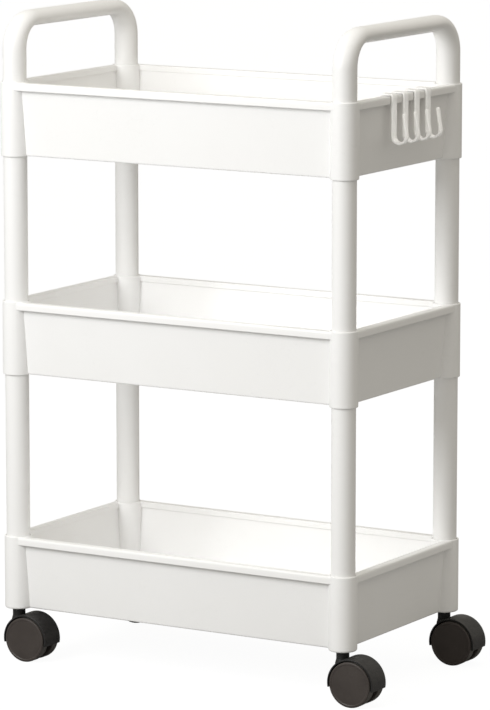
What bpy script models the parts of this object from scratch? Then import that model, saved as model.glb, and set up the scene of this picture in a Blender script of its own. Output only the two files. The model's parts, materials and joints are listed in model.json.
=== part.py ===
"""A three-tier rolling pantry cart: moulded trays, tube posts, end handles, swivel casters and rim hooks.

Metres, +Z up, front at -Y. The origin is on the floor, under the middle of the cart's outer box.
"""

import math

import bmesh
import bpy
from mathutils import Matrix, Vector

# Frame
POST_SPACING_X = 0.403
POST_SPACING_Y = 0.2206
POST_DIAMETER = 0.0254
TUBE_WALL = 0.0018
LOWER_BAY = 0.1772
UPPER_BAY = 0.1564
INSERT_DEPTH = 0.030

# Trays
TRAY_HEIGHT = 0.0786
WALL = 0.0022
FLOOR = 0.0024
WALL_FOOT_OUTBOARD = 0.0016
WALL_HEAD_OUTBOARD = 0.0068
RIM_OUTBOARD = 0.013
RIM_HEIGHT = 0.0083
RIM_ROUND = 0.0022
LIP_INBOARD = 0.0020
LIP_HEIGHT = 0.0064
FLOOR_ROUND = 0.003
WALL_CORNER = 0.004
COLLAR_WALL = 0.0020
COLLAR_STEP = 0.0005
COLLAR_EDGE = 0.0012
FOOT_EDGE = 0.0022

# Handles
HANDLE_RISE = 0.0745
GRIP_THICKNESS = 0.0173
HANDLE_BEND = 0.032

# Casters
WHEEL_DIAMETER = 0.0482
WHEEL_EDGE = 0.0016
CASTER_WIDTH = 0.0312
TRAIL = 0.0163
RIM_GAP = 0.0012
HOOD_WALL = 0.0016
HOOD_INSET = 0.0010
HOOD_REACH = 0.0050
WEB_THICKNESS = 0.010
HUB_RADIUS = 0.0095
HUB_START_DEG = 200
HUB_END_DEG = 340
NECK_DIAMETER = 0.0137
NECK_RISE = 0.0046
AXLE_DIAMETER = 0.006
AXLE_COVER = 0.003
PIN_DIAMETER = 0.008
PIN_DEPTH = 0.026
STEM_DIAMETER = 0.010
STEM_LENGTH = 0.034
STEM_TIP = 0.001
GROOVE_DEPTH = 0.001
GROOVE_WIDTH = 0.0026
GROOVE_FROM_TOP = 0.005
RING_WALL = 0.0014
RING_SLOT_DEG = 40
SLEEVE_WALL = 0.0022
SLEEVE_LENGTH = 0.037
FLANGE_OUTBOARD = 0.0018
FLANGE_THICKNESS = 0.0012

# Rim hooks
HOOK_COUNT = 4
HOOK_WIDTH = 0.0095
HOOK_THICKNESS = 0.0024
HOOK_HEIGHT = 0.0525
HOOK_PITCH = 0.0243
HOOK_FIRST_Y = -0.0335
HOOK_REACH = 0.0154
HOOK_ARM = 0.0235
HOOK_LEAN = 0.0035
HOOK_INNER_LEG = 0.0075
HOOK_SNAP = 0.0012

# Clearances
GAP = 0.0003
RUNNING_GAP = 0.0005
SWIVEL_GAP = 0.0005

# Facets
TUBE_SEGMENTS = 20
WHEEL_SEGMENTS = 24
PIN_SEGMENTS = 16
HANDLE_SEGMENTS = 16
BEND_STEPS = 6
CORNER_STEPS = 3
HUB_STEPS = 4
SMOOTH_ANGLE_DEG = 35

# Finishes: colour, roughness, metallic
FINISHES = {
    "white_plastic": ((0.90, 0.90, 0.885, 1), 0.42, 0),
    "hook_plastic": ((0.74, 0.71, 0.65, 1), 0.45, 0),
    "hood_plastic": ((0.026, 0.026, 0.028, 1), 0.40, 0),
    "wheel_plastic": ((0.075, 0.067, 0.062, 1), 0.50, 0),
    "sleeve_plastic": ((0.62, 0.61, 0.58, 1), 0.50, 0),
    "steel": ((0.55, 0.56, 0.58, 1), 0.30, 1),
}

# Derived sizes and places
POST_RADIUS = POST_DIAMETER / 2
BORE_RADIUS = POST_RADIUS + GAP
COLLAR_RADIUS = BORE_RADIUS + COLLAR_WALL
WHEEL_RADIUS = WHEEL_DIAMETER / 2
WHEEL_CORNER_RADIUS = WHEEL_RADIUS / math.cos(math.pi / WHEEL_SEGMENTS)
WHEEL_OUTER_FACE = CASTER_WIDTH / 2
WHEEL_INNER_FACE = WEB_THICKNESS / 2 + RUNNING_GAP
WELL_RADIUS = WHEEL_CORNER_RADIUS + RIM_GAP
HOOD_RADIUS = WELL_RADIUS + HOOD_WALL
HOOD_HALF_WIDTH = WHEEL_OUTER_FACE - HOOD_INSET
NECK_TOP = WHEEL_RADIUS + HOOD_RADIUS + NECK_RISE
STEM_TOP = NECK_TOP + GAP + STEM_LENGTH
GROOVE_Z = STEM_TOP - GROOVE_FROM_TOP
RING_INNER_RADIUS = STEM_DIAMETER / 2 - GROOVE_DEPTH + GAP
RING_OUTER_RADIUS = RING_INNER_RADIUS + RING_WALL
SLEEVE_BORE_RADIUS = STEM_DIAMETER / 2 + RUNNING_GAP
SLEEVE_RADIUS = SLEEVE_BORE_RADIUS + SLEEVE_WALL
FLANGE_RADIUS = SLEEVE_RADIUS + FLANGE_OUTBOARD
SLEEVE_Z = NECK_TOP + SWIVEL_GAP
LOWER_Z = SLEEVE_Z + COLLAR_STEP
MIDDLE_Z = LOWER_Z + TRAY_HEIGHT + LOWER_BAY
TOP_Z = MIDDLE_Z + TRAY_HEIGHT + UPPER_BAY
RIM_TOP_Z = TOP_Z + TRAY_HEIGHT
CENTRE_X = (COLLAR_RADIUS - TRAIL - HOOD_RADIUS) / 2
CORNERS = {
    "front_left": (-1, -1),
    "front_right": (1, -1),
    "rear_left": (-1, 1),
    "rear_right": (1, 1),
}


def clear_scene():
    for obj in list(bpy.data.objects):
        bpy.data.objects.remove(obj, do_unlink=True)


def make_materials():
    materials = {}
    for name, (colour, roughness, metallic) in FINISHES.items():
        material = bpy.data.materials.new(name)
        material.use_nodes = True
        shader = material.node_tree.nodes["Principled BSDF"]
        shader.inputs["Base Color"].default_value = colour
        shader.inputs["Roughness"].default_value = roughness
        shader.inputs["Metallic"].default_value = metallic
        materials[name] = material
    return materials


def link_object(name, data, parent, place):
    obj = bpy.data.objects.new(name, data)
    obj.location = place
    obj.parent = parent
    bpy.context.scene.collection.objects.link(obj)
    return obj


def add_object(name, bm, material, parent, place=(0, 0, 0)):
    """Turn a bmesh into a named object with outward faces and smooth round sides."""
    bmesh.ops.remove_doubles(bm, verts=bm.verts, dist=1e-7)
    bmesh.ops.recalc_face_normals(bm, faces=bm.faces)
    mesh = bpy.data.meshes.new(name)
    bm.to_mesh(mesh)
    bm.free()
    mesh.materials.append(material)
    mesh.shade_smooth()
    mesh.set_sharp_from_angle(angle=math.radians(SMOOTH_ANGLE_DEG))
    return link_object(name, mesh, parent, place)


def add_boolean(obj, operation, cutter):
    cutter.hide_render = True
    cutter.display_type = "WIRE"
    modifier = obj.modifiers.new(cutter.name, "BOOLEAN")
    modifier.operation = operation
    modifier.object = cutter


def corner_place(corner, z=0):
    side_x, side_y = CORNERS[corner]
    return (side_x * POST_SPACING_X / 2, side_y * POST_SPACING_Y / 2, z)


def skin(bm, sections, closed=False):
    """Join ring after ring of points with quads; an open skin gets a face across each end."""
    rings = [[bm.verts.new(point) for point in section] for section in sections]
    pairs = list(zip(rings, rings[1:]))
    if closed:
        pairs.append((rings[-1], rings[0]))
    else:
        bm.faces.new(rings[0])
        bm.faces.new(rings[-1])
    for lower, upper in pairs:
        for number in range(len(lower)):
            after = (number + 1) % len(lower)
            bm.faces.new((lower[number], lower[after], upper[after], upper[number]))


def turn(bm, profile, segments, centre=(0, 0), span_deg=360):
    """Spin a profile of (radius, height) points about +Z; points at radius 0 close its ends."""
    verts = [bm.verts.new((centre[0] + radius, centre[1], z)) for radius, z in profile]
    geometry = verts + [bm.edges.new(pair) for pair in zip(verts, verts[1:])]
    if span_deg < 360:
        geometry.append(bm.faces.new(verts))
    elif profile[0][0] > 0:
        geometry.append(bm.edges.new((verts[-1], verts[0])))
    bmesh.ops.spin(
        bm,
        geom=geometry,
        cent=(centre[0], centre[1], 0),
        axis=(0, 0, 1),
        angle=math.radians(span_deg),
        steps=segments,
        use_merge=span_deg == 360,
    )


def lay_along_y(bm, roll_deg=0):
    """Roll what was made about +Z, then turn its axis onto +Y."""
    roll = Matrix.Rotation(math.radians(roll_deg), 3, "Z")
    lay = Matrix.Rotation(-math.pi / 2, 3, "X")
    bmesh.ops.transform(bm, matrix=(lay @ roll).to_4x4(), verts=bm.verts)


def extrude_outline(bm, outline, half_width):
    """Extrude an outline of (x, z) points along Y, half_width to each side."""
    face = bm.faces.new([bm.verts.new((x, -half_width, z)) for x, z in outline])
    grown = bmesh.ops.extrude_face_region(bm, geom=[face])["geom"]
    moved = [item for item in grown if isinstance(item, bmesh.types.BMVert)]
    bmesh.ops.translate(bm, vec=(0, 2 * half_width, 0), verts=moved)


def arc(centre, radius, start_deg, end_deg, steps):
    points = []
    for step in range(steps + 1):
        angle = math.radians(start_deg + (end_deg - start_deg) * step / steps)
        points.append((centre[0] + radius * math.cos(angle), centre[1] + radius * math.sin(angle)))
    return points


# Trays


def rounded_rectangle(outboard, radius, z):
    """The rectangle through the post axes, grown by outboard, with its corners rounded."""
    half_x = POST_SPACING_X / 2 + outboard - radius
    half_y = POST_SPACING_Y / 2 + outboard - radius
    points = []
    for quarter, (side_x, side_y) in enumerate(((1, 1), (-1, 1), (-1, -1), (1, -1))):
        centre = (side_x * half_x, side_y * half_y)
        start = 90 * quarter
        points += [(x, y, z) for x, y in arc(centre, radius, start, start + 90, CORNER_STEPS)]
    return points


def wall_outboard(z):
    """How far the drafted wall's outer face stands outside the post axes at height z."""
    rise = z / (TRAY_HEIGHT - RIM_HEIGHT)
    return WALL_FOOT_OUTBOARD + (WALL_HEAD_OUTBOARD - WALL_FOOT_OUTBOARD) * rise


def basin_profile():
    """(outboard, corner radius, height) from under the floor, over the rim, down to the floor."""
    brow = TRAY_HEIGHT - WALL
    skirt = TRAY_HEIGHT - RIM_HEIGHT
    skirt_inside = RIM_OUTBOARD - WALL
    lip = wall_outboard(TRAY_HEIGHT) - WALL - LIP_INBOARD
    lip_foot = TRAY_HEIGHT - LIP_HEIGHT
    foot = wall_outboard(FLOOR + FLOOR_ROUND) - WALL
    return [
        (WALL_FOOT_OUTBOARD - FLOOR_ROUND / 2, WALL_CORNER, 0),
        (wall_outboard(FLOOR_ROUND / 2), WALL_CORNER, FLOOR_ROUND / 2),
        (wall_outboard(brow), WALL_CORNER, brow),
        (skirt_inside, skirt_inside, brow),
        (skirt_inside, skirt_inside, skirt),
        (RIM_OUTBOARD, RIM_OUTBOARD, skirt),
        (RIM_OUTBOARD, RIM_OUTBOARD, TRAY_HEIGHT - RIM_ROUND),
        (RIM_OUTBOARD - RIM_ROUND, RIM_OUTBOARD - RIM_ROUND, TRAY_HEIGHT),
        (lip + RIM_ROUND / 2, WALL_CORNER, TRAY_HEIGHT),
        (lip, WALL_CORNER, TRAY_HEIGHT - RIM_ROUND / 2),
        (lip, WALL_CORNER, lip_foot),
        (wall_outboard(lip_foot) - WALL, WALL_CORNER, lip_foot),
        (foot, WALL_CORNER, FLOOR + FLOOR_ROUND),
        (foot - FLOOR_ROUND, WALL_CORNER, FLOOR),
    ]


def collar_profile(foot_edge):
    low = -COLLAR_STEP
    high = TRAY_HEIGHT + COLLAR_STEP
    return [
        (0, low),
        (COLLAR_RADIUS - foot_edge, low),
        (COLLAR_RADIUS, low + foot_edge),
        (COLLAR_RADIUS, high - COLLAR_EDGE),
        (COLLAR_RADIUS - COLLAR_EDGE, high),
        (0, high),
    ]


def plug_profile(radius, low, high):
    return [(0, low), (radius, low), (radius, high), (0, high)]


def upper_bore_profile():
    mouth = TRAY_HEIGHT + COLLAR_STEP
    return plug_profile(BORE_RADIUS, mouth - INSERT_DEPTH, mouth + INSERT_DEPTH)


def lower_bore_profile():
    mouth = -COLLAR_STEP
    return plug_profile(BORE_RADIUS, mouth - INSERT_DEPTH, mouth + INSERT_DEPTH)


def ledge_hole_profile():
    """The hole that leaves a stop ledge between the two tube bores."""
    return plug_profile(POST_RADIUS - TUBE_WALL, 0, TRAY_HEIGHT)


def sleeve_bore_profile():
    foot = -COLLAR_STEP
    ledge = foot + FLANGE_THICKNESS + GAP
    return [
        (0, foot - FLANGE_THICKNESS),
        (FLANGE_RADIUS + GAP, foot - FLANGE_THICKNESS),
        (FLANGE_RADIUS + GAP, ledge),
        (SLEEVE_RADIUS + GAP, ledge),
        (SLEEVE_RADIUS + GAP, foot + SLEEVE_LENGTH + GAP),
        (0, foot + SLEEVE_LENGTH + GAP),
    ]


def add_corner_set(name, profile, material, parent):
    """One helper object that holds the same turned shape at all four corners."""
    bm = bmesh.new()
    for corner in CORNERS:
        turn(bm, profile, TUBE_SEGMENTS, corner_place(corner))
    return add_object(name, bm, material, parent)


def add_tray(name, z, foot_edge, foot_bores, material, parent):
    """A basin with four collars, bored from above for tubes and from below by foot_bores."""
    bm = bmesh.new()
    skin(bm, [rounded_rectangle(*station) for station in basin_profile()])
    tray = add_object(name, bm, material, parent, (0, 0, z))
    collars = add_corner_set(f"{name}_collars", collar_profile(foot_edge), material, tray)
    add_boolean(tray, "UNION", collars)
    for number, profile in enumerate([upper_bore_profile()] + foot_bores):
        cutter = add_corner_set(f"{name}_bore_{number}", profile, material, tray)
        add_boolean(tray, "DIFFERENCE", cutter)


# Posts and handles


def add_posts(level, tray_z, bay, material, parent):
    """Four tubes from the collars of the tray at tray_z up into the collars of the next tray."""
    seat = INSERT_DEPTH - GAP
    low = tray_z + TRAY_HEIGHT + COLLAR_STEP - seat
    length = bay - 2 * COLLAR_STEP + 2 * seat
    inside = POST_RADIUS - TUBE_WALL
    for corner in CORNERS:
        bm = bmesh.new()
        turn(bm, [(inside, 0), (POST_RADIUS, 0), (POST_RADIUS, length), (inside, length)], TUBE_SEGMENTS)
        add_object(f"{level}_post_{corner}", bm, material, parent, corner_place(corner, low))


def handle_stations():
    """(y, z, slope in degrees, half depth) from the foot of the front leg to the foot of the rear leg."""
    foot = RIM_TOP_Z + COLLAR_STEP - INSERT_DEPTH + GAP
    grip = GRIP_THICKNESS / 2
    crown = RIM_TOP_Z + HANDLE_RISE - grip
    half = POST_SPACING_Y / 2
    front = [(-half, foot, 90, POST_RADIUS)]
    for step in range(BEND_STEPS + 1):
        turned = step / BEND_STEPS
        angle = math.pi / 2 * turned
        y = -half + HANDLE_BEND * (1 - math.cos(angle))
        z = crown - HANDLE_BEND * (1 - math.sin(angle))
        front.append((y, z, 90 * (1 - turned), POST_RADIUS + (grip - POST_RADIUS) * turned))
    rear = [(-y, z, -slope, depth) for y, z, slope, depth in reversed(front)]
    return front + rear


def handle_section(station, wall):
    """One oval section across the handle; its width along X stays the tube's."""
    y, z, slope, depth = station
    tilt = math.radians(slope)
    normal = Vector((0, -math.sin(tilt), math.cos(tilt)))
    points = []
    for x, out in arc((0, 0), 1, 0, 360, HANDLE_SEGMENTS)[:-1]:
        across = Vector(((POST_RADIUS - wall) * x, 0, 0))
        points.append(Vector((0, y, z)) + across + normal * ((depth - wall) * out))
    return points


def add_handle(name, side_x, material, parent):
    bm = bmesh.new()
    stations = handle_stations()
    outer = [handle_section(station, 0) for station in stations]
    inner = [handle_section(station, TUBE_WALL) for station in stations]
    skin(bm, outer + inner[::-1], closed=True)
    add_object(name, bm, material, parent, (side_x * POST_SPACING_X / 2, 0, 0))


# Rim hooks


def hook_outline():
    """(x, z) outline of a rim hook: x outboard of the post axes, z from the rim's top."""
    half = HOOK_THICKNESS / 2
    leg = wall_outboard(TRAY_HEIGHT) - WALL - LIP_INBOARD - GAP
    crest = GAP + HOOK_THICKNESS
    strap = RIM_OUTBOARD + GAP
    latch = -RIM_HEIGHT - GAP
    bend = HOOK_REACH / 2
    bend_at = (strap + half + bend, crest - HOOK_HEIGHT + half + bend)
    tip_x = bend_at[0] + bend - HOOK_LEAN
    tip_z = bend_at[1] + HOOK_ARM
    tray_side = [
        (leg, -HOOK_INNER_LEG),
        (leg, GAP),
        (strap, GAP),
        (strap, latch),
        (strap - HOOK_SNAP, latch),
        (strap, latch - HOOK_SNAP),
    ]
    tray_side += arc(bend_at, bend + half, 180, 360, 2 * BEND_STEPS)
    tray_side += [(tip_x + half, tip_z - half), (tip_x, tip_z)]
    outer_side = [
        (leg - half, -HOOK_INNER_LEG),
        (leg - HOOK_THICKNESS, crest - half),
        (leg - half, crest),
        (strap + half, crest),
        (strap + HOOK_THICKNESS, crest - half),
    ]
    outer_side += arc(bend_at, bend - half, 180, 360, BEND_STEPS)
    outer_side.append((tip_x - half, tip_z - half))
    return tray_side + outer_side[::-1]


def add_hooks(material, parent):
    for number in range(HOOK_COUNT):
        bm = bmesh.new()
        extrude_outline(bm, hook_outline(), HOOK_WIDTH / 2)
        place = (POST_SPACING_X / 2, HOOK_FIRST_Y + HOOK_PITCH * number, RIM_TOP_Z)
        add_object(f"hook_{number + 1}", bm, material, parent, place)


# Casters, in the frame of an empty on the floor under the stem


def sleeve_profile():
    """The caster's socket: a flanged sleeve with a groove inside that the grip ring snaps into."""
    groove = GROOVE_Z - SLEEVE_Z
    half = GROOVE_WIDTH / 2
    return [
        (SLEEVE_BORE_RADIUS, 0),
        (FLANGE_RADIUS, 0),
        (FLANGE_RADIUS, FLANGE_THICKNESS),
        (SLEEVE_RADIUS, FLANGE_THICKNESS),
        (SLEEVE_RADIUS, SLEEVE_LENGTH),
        (SLEEVE_BORE_RADIUS, SLEEVE_LENGTH),
        (SLEEVE_BORE_RADIUS, groove + half),
        (RING_OUTER_RADIUS + GAP, groove + half),
        (RING_OUTER_RADIUS + GAP, groove - half),
        (SLEEVE_BORE_RADIUS, groove - half),
    ]


def ring_profile():
    half = GROOVE_WIDTH / 2 - GAP
    return [
        (RING_INNER_RADIUS, -half),
        (RING_OUTER_RADIUS, -half),
        (RING_OUTER_RADIUS, half),
        (RING_INNER_RADIUS, half),
    ]


def stem_profile():
    """The stem: a pin held in the housing, a thicker swivel shank above it, and the ring's groove."""
    shank = STEM_DIAMETER / 2
    half = GROOVE_WIDTH / 2
    return [
        (0, NECK_TOP - PIN_DEPTH),
        (PIN_DIAMETER / 2, NECK_TOP - PIN_DEPTH),
        (PIN_DIAMETER / 2, NECK_TOP + GAP),
        (shank, NECK_TOP + GAP),
        (shank, GROOVE_Z - half),
        (shank - GROOVE_DEPTH, GROOVE_Z - half),
        (shank - GROOVE_DEPTH, GROOVE_Z + half),
        (shank, GROOVE_Z + half),
        (shank, STEM_TOP - STEM_TIP),
        (shank - STEM_TIP, STEM_TOP),
        (0, STEM_TOP),
    ]


def wheel_profile():
    """(radius, distance from the caster's middle) of a wheel with a blind bore for the axle."""
    rim = WHEEL_CORNER_RADIUS
    bore = AXLE_DIAMETER / 2 + GAP
    bore_end = WHEEL_OUTER_FACE - AXLE_COVER + GAP
    return [
        (0, WHEEL_OUTER_FACE),
        (rim - WHEEL_EDGE, WHEEL_OUTER_FACE),
        (rim, WHEEL_OUTER_FACE - WHEEL_EDGE),
        (rim, WHEEL_INNER_FACE),
        (bore, WHEEL_INNER_FACE),
        (bore, bore_end),
        (0, bore_end),
    ]


def well_profile():
    """The two wheel wells and, between them, the axle's hole through the web."""
    side = WEB_THICKNESS / 2
    bore = AXLE_DIAMETER / 2 + GAP
    return [
        (0, -CASTER_WIDTH),
        (WELL_RADIUS, -CASTER_WIDTH),
        (WELL_RADIUS, -side),
        (bore, -side),
        (bore, side),
        (WELL_RADIUS, side),
        (WELL_RADIUS, CASTER_WIDTH),
        (0, CASTER_WIDTH),
    ]


def housing_outline():
    """(x, z) about the axle: the hood's arc, and the web's foot round the hub."""
    dip = math.degrees(math.asin(HOOD_REACH / HOOD_RADIUS))
    hood = arc((0, 0), HOOD_RADIUS, -dip, 180 + dip, WHEEL_SEGMENTS // 2)
    return hood + arc((0, 0), HUB_RADIUS, HUB_START_DEG, HUB_END_DEG, HUB_STEPS)


def add_turned(name, profile, segments, material, parent, place=(0, 0, 0)):
    bm = bmesh.new()
    turn(bm, profile, segments)
    return add_object(name, bm, material, parent, place)


def add_housing(corner, material, parent):
    """A hooded housing: wheel wells leave the hood's roof and a centre web; a neck rises round the stem."""
    bm = bmesh.new()
    extrude_outline(bm, housing_outline(), HOOD_HALF_WIDTH)
    housing = add_object(f"housing_{corner}", bm, material, parent, (TRAIL, 0, WHEEL_RADIUS))
    neck_profile = plug_profile(NECK_DIAMETER / 2, WHEEL_RADIUS, NECK_TOP)
    neck = add_turned(f"neck_{corner}", neck_profile, PIN_SEGMENTS, material, parent)
    add_boolean(housing, "UNION", neck)
    bm = bmesh.new()
    turn(bm, well_profile(), WHEEL_SEGMENTS)
    lay_along_y(bm)
    wells = add_object(f"wells_{corner}", bm, material, parent, (TRAIL, 0, WHEEL_RADIUS))
    add_boolean(housing, "DIFFERENCE", wells)
    bore_profile = plug_profile(PIN_DIAMETER / 2 + GAP, NECK_TOP - PIN_DEPTH - GAP, NECK_TOP + GAP)
    bore = add_turned(f"pin_bore_{corner}", bore_profile, PIN_SEGMENTS, material, parent)
    add_boolean(housing, "DIFFERENCE", bore)


def add_axle(corner, material, parent):
    half = WHEEL_OUTER_FACE - AXLE_COVER
    bm = bmesh.new()
    turn(bm, plug_profile(AXLE_DIAMETER / 2, -half, half), PIN_SEGMENTS)
    lay_along_y(bm)
    add_object(f"axle_{corner}", bm, material, parent, (TRAIL, 0, WHEEL_RADIUS))


def add_wheel(name, side_y, material, parent):
    """A wheel that stands on one flat of its faceted rim."""
    bm = bmesh.new()
    turn(bm, [(radius, side_y * out) for radius, out in wheel_profile()], WHEEL_SEGMENTS)
    lay_along_y(bm, roll_deg=180 / WHEEL_SEGMENTS)
    add_object(name, bm, material, parent, (TRAIL, 0, WHEEL_RADIUS))


def add_caster(corner, materials, parent):
    swivel = link_object(f"swivel_{corner}", None, parent, corner_place(corner))
    nylon = materials["sleeve_plastic"]
    steel = materials["steel"]
    add_turned(f"socket_{corner}", sleeve_profile(), PIN_SEGMENTS, nylon, swivel, (0, 0, SLEEVE_Z))
    bm = bmesh.new()
    turn(bm, ring_profile(), PIN_SEGMENTS, span_deg=360 - RING_SLOT_DEG)
    add_object(f"grip_ring_{corner}", bm, steel, swivel, (0, 0, GROOVE_Z))
    add_turned(f"stem_{corner}", stem_profile(), PIN_SEGMENTS, steel, swivel)
    add_housing(corner, materials["hood_plastic"], swivel)
    add_axle(corner, steel, swivel)
    add_wheel(f"wheel_{corner}_a", -1, materials["wheel_plastic"], swivel)
    add_wheel(f"wheel_{corner}_b", 1, materials["wheel_plastic"], swivel)


def main():
    clear_scene()
    materials = make_materials()
    white = materials["white_plastic"]
    cart = link_object("cart", None, None, (CENTRE_X, 0, 0))
    tube_bores = [lower_bore_profile(), ledge_hole_profile()]
    add_tray("tray_bottom", LOWER_Z, FOOT_EDGE, [sleeve_bore_profile()], white, cart)
    add_tray("tray_middle", MIDDLE_Z, COLLAR_EDGE, tube_bores, white, cart)
    add_tray("tray_top", TOP_Z, COLLAR_EDGE, tube_bores, white, cart)
    add_posts("lower", LOWER_Z, LOWER_BAY, white, cart)
    add_posts("upper", MIDDLE_Z, UPPER_BAY, white, cart)
    add_handle("handle_left", -1, white, cart)
    add_handle("handle_right", 1, white, cart)
    add_hooks(materials["hook_plastic"], cart)
    for corner in CORNERS:
        add_caster(corner, materials, cart)


main()
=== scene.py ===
import json
import math

import bmesh
import bpy
from mathutils import Matrix, Vector

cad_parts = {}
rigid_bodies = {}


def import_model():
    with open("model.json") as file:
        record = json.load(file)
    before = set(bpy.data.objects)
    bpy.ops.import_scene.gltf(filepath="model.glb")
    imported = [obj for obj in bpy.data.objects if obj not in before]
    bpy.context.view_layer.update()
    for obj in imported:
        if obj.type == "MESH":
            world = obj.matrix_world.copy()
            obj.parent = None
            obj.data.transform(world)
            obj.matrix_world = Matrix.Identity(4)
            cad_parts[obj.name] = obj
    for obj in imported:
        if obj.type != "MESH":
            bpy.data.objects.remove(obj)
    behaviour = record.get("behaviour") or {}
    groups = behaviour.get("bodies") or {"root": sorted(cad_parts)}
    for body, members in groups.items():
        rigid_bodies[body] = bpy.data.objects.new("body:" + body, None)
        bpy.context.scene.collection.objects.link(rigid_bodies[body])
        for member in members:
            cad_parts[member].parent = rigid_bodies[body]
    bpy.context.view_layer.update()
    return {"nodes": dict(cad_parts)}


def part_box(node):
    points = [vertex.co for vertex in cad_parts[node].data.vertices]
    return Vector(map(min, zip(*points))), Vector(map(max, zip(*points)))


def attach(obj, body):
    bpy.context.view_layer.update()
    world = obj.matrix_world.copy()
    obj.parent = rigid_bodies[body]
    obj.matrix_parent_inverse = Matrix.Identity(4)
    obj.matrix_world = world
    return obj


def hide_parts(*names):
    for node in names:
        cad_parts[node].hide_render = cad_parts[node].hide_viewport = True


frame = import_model()
print("frame loaded,", len(frame["nodes"]), "parts")

cornerNames = ["front_left", "front_right", "rear_left", "rear_right"]
trayLevels = ["bottom", "middle", "top"]


# places that every piece is built from

def middleOf(node):
    low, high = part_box(node)
    return (low + high) / 2


postSpots = {name: middleOf(f"upper_post_{name}") for name in cornerNames}
cartMiddle = sum(postSpots.values(), Vector()) / len(postSpots)
halfLong = (postSpots["front_right"].x - postSpots["front_left"].x) / 2  # post axis to the cart's middle
halfDeep = (postSpots["rear_left"].y - postSpots["front_left"].y) / 2
postRadius = (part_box("upper_post_front_left")[1].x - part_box("upper_post_front_left")[0].x) / 2
collarRadius = postSpots["front_left"].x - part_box("tray_top")[0].x

fits = {
    "tubeWall": 0.0018,
    "slipGap": 0.0003,  # between a tube and its bore
    "collarStep": 0.0005,  # collars stand this far past the tray's rim and floor
    "tubeSeat": 0.030,  # how deep a tube goes into a collar
    "overcut": 0.004,  # how far a cutter starts outside the face it cuts
}


# mesh helpers

weldReach = 0.000001  # points closer than this become one


def smoothly(part):
    # runs from 0 to 1 with level ends
    return part * part * (3 - 2 * part)


def between(start, end, steps):
    return [start.lerp(end, step / steps) for step in range(1, steps + 1)]


def roundedOutline(corners, steps=4, closed=False):
    # corners are (across, up, radius); a radius of 0 and the ends of an open outline stay sharp
    points = []
    for number, (across, up, radius) in enumerate(corners):
        here = Vector((across, up))
        isEnd = not closed and number in (0, len(corners) - 1)
        if radius == 0 or isEnd:
            points.append(here)
            continue
        toLast = Vector(corners[number - 1][:2]) - here
        toNext = Vector(corners[(number + 1) % len(corners)][:2]) - here
        reach = radius / math.tan(toLast.angle(toNext) / 2)
        start = here + toLast.normalized() * reach
        end = here + toNext.normalized() * reach
        for step in range(steps + 1):
            part = step / steps
            points.append(start * (1 - part) ** 2 + here * 2 * part * (1 - part) + end * part ** 2)
    return points


def arcPoints(across, up, radius, startTurn, endTurn, steps):
    turns = [math.radians(startTurn + (endTurn - startTurn) * step / steps) for step in range(steps + 1)]
    return [Vector((across + radius * math.cos(turn), up + radius * math.sin(turn))) for turn in turns]


def drawLine(bm, spots, closed=False):
    verts = [bm.verts.new(spot) for spot in spots]
    edges = [bm.edges.new(pair) for pair in zip(verts, verts[1:])]
    if closed:
        edges.append(bm.edges.new((verts[-1], verts[0])))
    return verts + edges


def closeEnds(bm):
    # fills each open loop with one face
    bmesh.ops.holes_fill(bm, edges=[edge for edge in bm.edges if edge.is_boundary], sides=0)


def turnedProfile(points, steps, closed=False, turn=360):
    # points are (radius, height); the ends of an open profile are at radius 0
    bm = bmesh.new()
    line = drawLine(bm, [(point[0], 0, point[1]) for point in points], closed)
    full = turn == 360
    bmesh.ops.spin(
        bm, geom=line, cent=(0, 0, 0), axis=(0, 0, 1), angle=math.radians(turn), steps=steps, use_merge=full
    )
    if not full:
        closeEnds(bm)
    return bm


def splitGrown(geometry):
    verts = [item for item in geometry if isinstance(item, bmesh.types.BMVert)]
    kept = set(verts)
    edges = [item for item in geometry if isinstance(item, bmesh.types.BMEdge)]
    return verts, [edge for edge in edges if kept.issuperset(edge.verts)]


def loftAlong(bm, ring, places):
    # ring is the section at the first place, grown on through the others
    for last, place in zip(places, places[1:]):
        verts, ring = splitGrown(bmesh.ops.extrude_edge_only(bm, edges=ring)["geom"])
        bmesh.ops.transform(bm, matrix=place @ last.inverted(), verts=verts)


def meshFrom(bm, name, place=None):
    bmesh.ops.remove_doubles(bm, verts=bm.verts, dist=weldReach)
    bmesh.ops.dissolve_degenerate(bm, edges=bm.edges, dist=weldReach / 2)
    bmesh.ops.recalc_face_normals(bm, faces=bm.faces)
    if place is not None:
        bmesh.ops.transform(bm, matrix=place, verts=bm.verts)
    mesh = bpy.data.meshes.new(name)
    bm.to_mesh(mesh)
    bm.free()
    return mesh


def addMesh(name, mesh):
    obj = bpy.data.objects.new(name, mesh)
    bpy.context.scene.collection.objects.link(obj)
    return obj


def carve(obj, operation, bm):
    tool = addMesh("tool", meshFrom(bm, "tool"))
    change = obj.modifiers.new("carve", "BOOLEAN")
    change.operation = operation
    change.object = tool
    bpy.context.view_layer.objects.active = obj
    bpy.ops.object.modifier_apply(modifier=change.name)
    bpy.data.objects.remove(tool)


def markRub(mesh, amount):
    # the share of handling wear at each point, read by the materials
    layer = mesh.attributes.new("rub", "FLOAT", "POINT")
    for point, vert in zip(layer.data, mesh.vertices):
        point.value = amount(vert.co)


def noRub(spot):
    return 0.0


def finishPiece(obj, body, nodes, slot, crease=30):
    mesh = obj.data
    mesh.materials.clear()
    mesh.materials.append(materials[slot])
    mesh.shade_smooth()
    mesh.set_sharp_from_angle(angle=math.radians(crease))
    shading = obj.modifiers.new("even shading", "WEIGHTED_NORMAL")
    shading.keep_sharp = True
    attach(obj, body)
    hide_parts(*nodes)


# materials

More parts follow.
